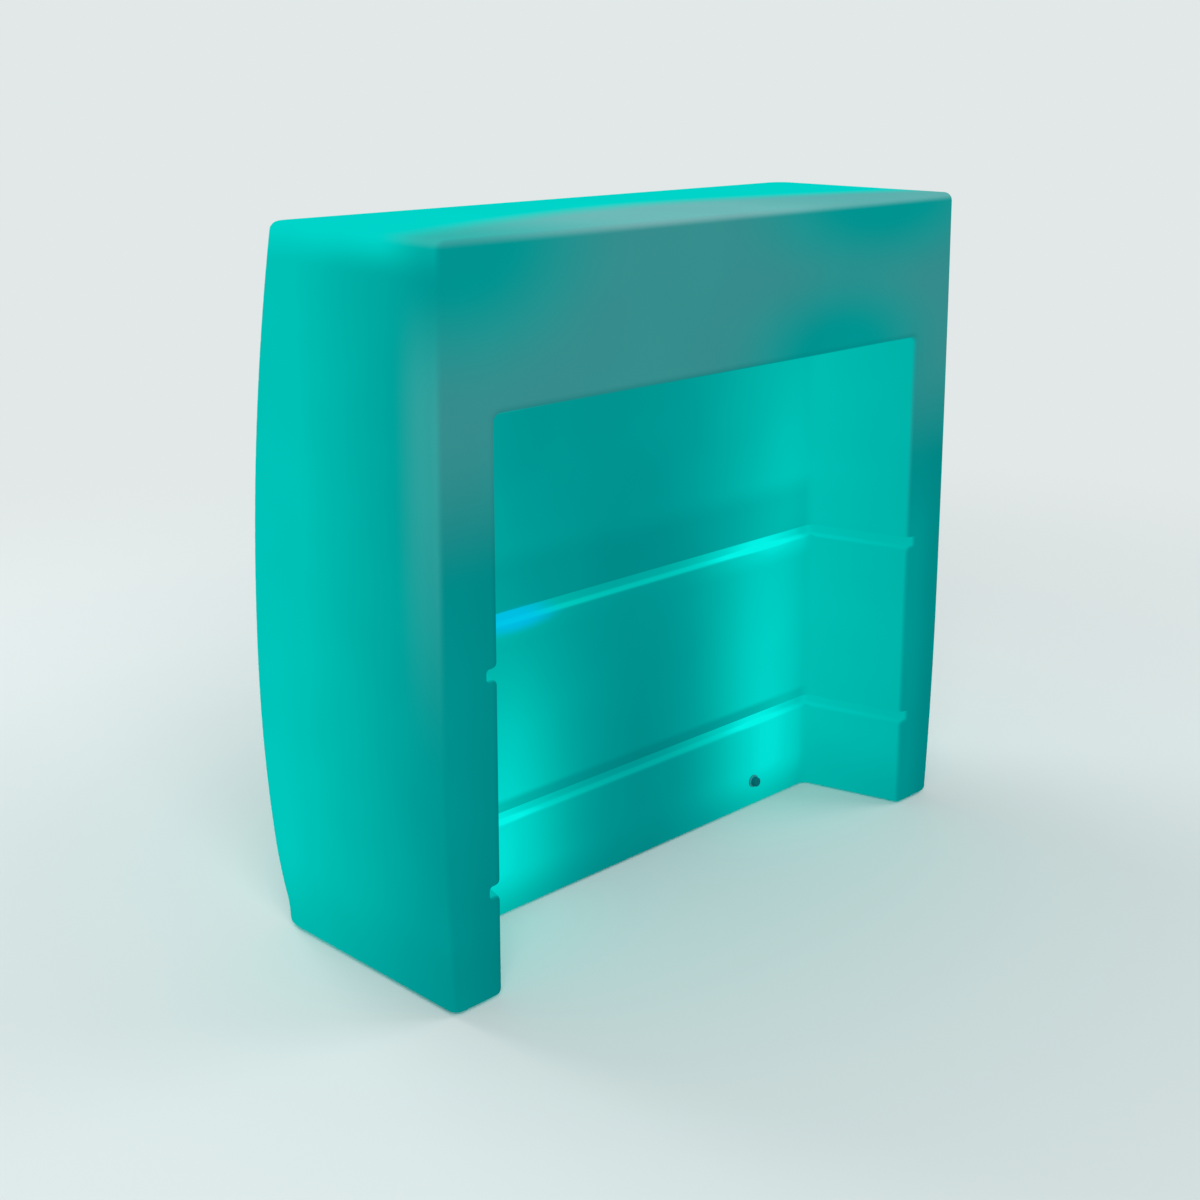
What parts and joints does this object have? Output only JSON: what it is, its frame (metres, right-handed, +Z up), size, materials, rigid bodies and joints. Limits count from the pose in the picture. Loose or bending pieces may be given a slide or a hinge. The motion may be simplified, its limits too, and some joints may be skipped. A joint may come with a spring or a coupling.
{
  "type": "illuminated bar counter",
  "caption": "Free-standing lit bar counter: hollow translucent moulding with a bowed front, flat top, open server's bay with shelf grooves, lamps in the base and a capped charging socket.",
  "frame": {"origin": "on the floor under the middle of the counter's overall box", "axes": "+X along the counter to the server's left, -Y towards the customers, +Z up"},
  "size_m": [1.19, 0.468, 1.115],
  "materials": {
    "lit_polyethylene": "satin rotomoulded polyethylene, lit teal from inside",
    "white_abs": "moulded, fine texture",
    "black_abs": "moulded, satin",
    "black_rubber": "matt moulded rubber",
    "cap_rubber": "matt moulded rubber",
    "zinc_steel": "bright zinc plate",
    "nickelled_brass": "bright nickel plate",
    "bare_aluminium": "turned, bare",
    "green_laminate": "solder resist",
    "white_laminate": "white solder resist",
    "led_phosphor": "clear resin over phosphor",
    "opal_polycarbonate": "opal, smooth",
    "cell_wrap": "shrink film",
    "black_pvc": "extruded cable sheath",
    "grey_nylon": "moulded nylon"
  },
  "bodies": {
    "counter": {"battery_cells_left": "cell_wrap", "battery_cells_right": "cell_wrap", "battery_tray_left": "black_abs", "battery_tray_right": "black_abs", "board_screws_left": "zinc_steel", "board_screws_right": "zinc_steel", "body_shell": "lit_polyethylene", "charge_gasket": "black_rubber", "charge_lead": "black_pvc", "charge_nut": "nickelled_brass", "charge_pin": "nickelled_brass", "charge_socket": "black_abs", "control_board_left": "green_laminate", "control_board_right": "green_laminate", "cover_gasket_left": "black_rubber", "cover_gasket_right": "black_rubber", "cover_screws_left": "zinc_steel", "cover_screws_right": "zinc_steel", "heat_plate_left": "bare_aluminium", "heat_plate_right": "bare_aluminium", "lamp_cover_left": "white_abs", "lamp_cover_right": "white_abs", "lamp_dome_left": "opal_polycarbonate", "lamp_dome_right": "opal_polycarbonate", "lamp_housing_left": "white_abs", "lamp_housing_right": "white_abs", "lead_clips": "grey_nylon", "lead_grommets": "black_rubber", "led_board_left": "white_laminate", "led_board_right": "white_laminate", "led_emitters_left": "led_phosphor", "led_emitters_right": "led_phosphor", "link_lead": "black_pvc", "rubber_feet": "black_rubber", "vent_plug": "grey_nylon"},
    "cap": {"charge_cap": "cap_rubber"}
  },
  "joints": [
    {"name": "cap_pull", "type": "slide", "parent": "counter", "child": "cap", "axis": [0, 1, 0], "range_m": [0, 0.022]}
  ]
}
